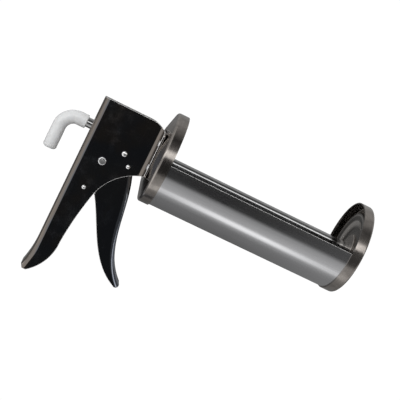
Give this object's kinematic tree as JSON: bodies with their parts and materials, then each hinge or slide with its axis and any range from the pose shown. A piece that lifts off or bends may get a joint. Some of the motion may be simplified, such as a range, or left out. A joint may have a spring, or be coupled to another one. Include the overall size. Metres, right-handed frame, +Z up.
{
  "type": "caulking gun",
  "caption": "Hand-held ratchet-rod caulking gun with an open half-round steel cradle, cupped end caps, channel handle, squeeze trigger and hooked push rod.",
  "frame": {"origin": "centre of the nozzle hole on the inner face of the front cap, where the cartridge seats", "axes": "+X forwards along the barrel and rod axis, +Z up, the handle hangs towards -Z, +Y to the left"},
  "size_m": [0.2639, 0.0764, 0.1622],
  "materials": {
    "cradle_steel": "satin, lengthwise grain",
    "cap_steel": "polished pressing",
    "frame_steel": "mirror polish, dark reflections",
    "rivet_steel": "bright",
    "plain_steel": "plain turned steel",
    "brass": "turned",
    "hard_steel": "hardened, dark",
    "spring_steel": "drawn wire",
    "rod_steel": "drawn bar, zinc plated",
    "sleeve_vinyl": "soft translucent vinyl"
  },
  "bodies": {
    "frame": {"handle_frame": "frame_steel", "cradle": "cradle_steel", "front_cap": "cap_steel", "rear_cap": "cap_steel", "rod_guide_bush": "brass", "flange_rivets": "rivet_steel", "trigger_pivot_rivet": "rivet_steel", "stop_pawl_rivet": "rivet_steel", "trigger_stop_rivet": "rivet_steel", "grip_spacer_rivet": "rivet_steel", "trigger_stop_spacer": "plain_steel", "grip_spacer": "plain_steel", "stop_pawl_spacers": "plain_steel", "stop_pawl_spring": "spring_steel"},
    "trigger": {"trigger": "frame_steel", "trigger_bush": "brass", "drive_pawl_pin": "plain_steel", "drive_pawl_spacers": "plain_steel", "drive_pawl_spring": "spring_steel", "trigger_return_spring": "spring_steel"},
    "drive_pawl": {"drive_pawl": "hard_steel"},
    "stop_pawl": {"stop_pawl": "hard_steel"},
    "piston": {"piston_plate": "cap_steel", "piston_hub_washer": "plain_steel"},
    "rod": {"ratchet_rod": "rod_steel", "rod_retainer": "plain_steel", "grip_sleeve": "sleeve_vinyl"}
  },
  "joints": [
    {"name": "trigger_swing", "type": "hinge", "parent": "frame", "child": "trigger", "pos_m": [-0.21575, 0, -0.0213], "axis": [0, 1, 0], "range_deg": [0, 17], "stiffness_Nm_per_rad": 0.25, "springref_deg": -28.65, "deforming": ["trigger_return_spring"]},
    {"name": "drive_pawl_pivot", "type": "hinge", "parent": "trigger", "child": "drive_pawl", "pos_m": [-0.2173, 0, -0.0108], "axis": [0, 1, 0], "range_deg": [-17, 0], "deforming": ["drive_pawl_spring"]},
    {"name": "stop_pawl_pivot", "type": "hinge", "parent": "frame", "child": "stop_pawl", "pos_m": [-0.20255, 0, -0.0089], "axis": [0, 1, 0], "range_deg": [0, 14], "stiffness_Nm_per_rad": 0.001, "springref_deg": -5.73, "deforming": ["stop_pawl_spring"]},
    {"name": "rod_slide", "type": "slide", "parent": "frame", "child": "piston", "axis": [-1, 0, 0], "range_m": [0, 0.169]},
    {"name": "rod_turn", "type": "hinge", "parent": "piston", "child": "rod", "pos_m": [0, 0, 0], "axis": [1, 0, 0], "range_deg": [0, 180]}
  ],
  "couplings": [
    {"joint": "drive_pawl_pivot", "follows": "trigger_swing", "ratio": -1}
  ]
}
